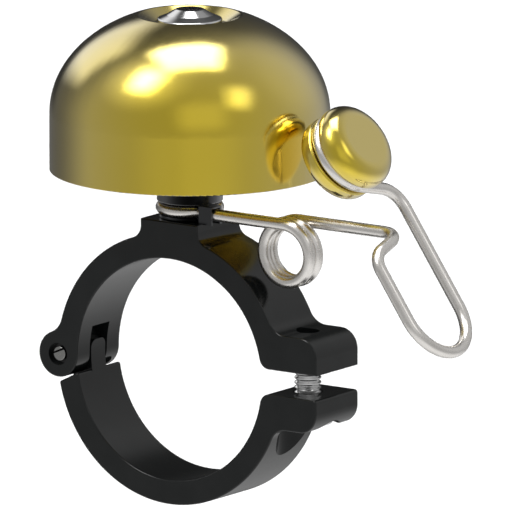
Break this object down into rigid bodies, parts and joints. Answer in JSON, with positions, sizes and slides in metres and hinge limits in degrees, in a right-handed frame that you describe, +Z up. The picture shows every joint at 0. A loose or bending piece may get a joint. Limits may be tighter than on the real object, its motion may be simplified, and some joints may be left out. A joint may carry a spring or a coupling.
{
  "type": "bicycle bell",
  "caption": "Handlebar bell: brass dome on a stem, hinged ring clamp closed by a screw, and a one-piece wire spring and thumb lever that carries a brass striker.",
  "frame": {"origin": "centre of the handlebar bore in the clamp", "axes": "+Y along the handlebar bore, +Z up through the stem of the dome, +X towards the thumb lever"},
  "size_m": [0.0686, 0.0396, 0.0702],
  "materials": {
    "clamp_black": "satin",
    "pin_steel": "satin",
    "screw_steel": "polished",
    "brass": "polished",
    "spacer_black": "gloss",
    "spring_wire": "satin"
  },
  "bodies": {
    "mount": {"clamp_upper": "clamp_black", "hinge_pin": "pin_steel", "dome": "brass", "dome_screw": "screw_steel", "stem_spacer": "spacer_black", "spring_anchor": "spring_wire", "spring_coil": "spring_wire"},
    "lower_jaw": {"clamp_lower": "clamp_black"},
    "screw": {"clamp_screw": "screw_steel"},
    "striker": {"thumb_lever": "spring_wire", "striker_knob": "brass"}
  },
  "joints": [
    {"name": "striker_swing", "type": "hinge", "parent": "mount", "child": "striker", "pos_m": [0.01806, 0, 0.01838], "axis": [0, 1, 0], "range_deg": [-3.8, 20], "stiffness_Nm_per_rad": 1.5, "deforming": ["spring_coil"]},
    {"name": "clamp_hinge", "type": "hinge", "parent": "mount", "child": "lower_jaw", "pos_m": [-0.0192, 0, 0], "axis": [0, 1, 0], "range_deg": [0, 100]},
    {"name": "screw_out", "type": "slide", "parent": "lower_jaw", "child": "screw", "axis": [0, 0, -1], "range_m": [0, 0.008]}
  ]
}
